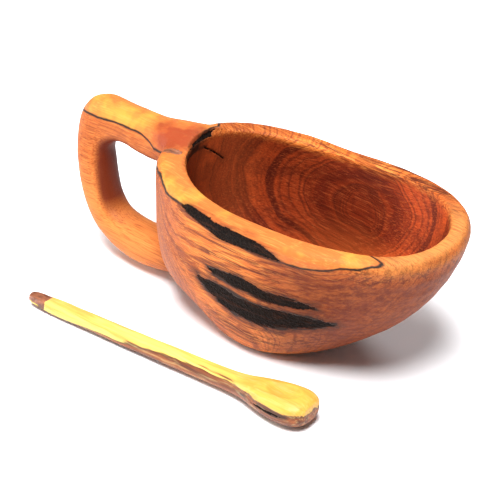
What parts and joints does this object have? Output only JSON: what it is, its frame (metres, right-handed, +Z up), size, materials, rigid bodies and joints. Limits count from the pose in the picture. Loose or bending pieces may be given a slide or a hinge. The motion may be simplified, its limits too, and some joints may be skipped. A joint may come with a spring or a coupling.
{
  "type": "kuksa cup",
  "caption": "Carved wooden cup with an oval hollow and a closed two-finger loop handle, dark inlays in its wall, and a small matching wooden spoon.",
  "frame": {"origin": "on the table under the middle of the cup's mouth: the flat foot lies on z = 0, and x = 0 is half-way along the mouth's inner edge", "axes": "+X from the loop handle to the nose, +Y to the far flank (the inlays are on the -Y flank), +Z up"},
  "size_m": [0.1988, 0.1056, 0.0768],
  "materials": {
    "heartwood": "oiled, satin",
    "sapwood": "oiled, satin",
    "black_inlay": "rough, granular",
    "bark": "rough bark"
  },
  "bodies": {
    "cup": {"cup_body": "heartwood", "rim_inlay": "black_inlay", "flank_inlay_upper": "black_inlay", "flank_inlay_lower": "black_inlay", "collar_seam_inlay": "black_inlay", "throat_crack_inlay": "black_inlay", "bark_pocket_inlay": "bark"},
    "spoon": {"spoon_body": "sapwood", "spoon_bark_tip": "bark", "spoon_seam_inlay": "black_inlay"}
  },
  "joints": [
    {"name": "spoon_lift", "type": "slide", "parent": "cup", "child": "spoon", "axis": [0, -0.2425, 0.9701], "range_m": [0, 0.12]}
  ]
}
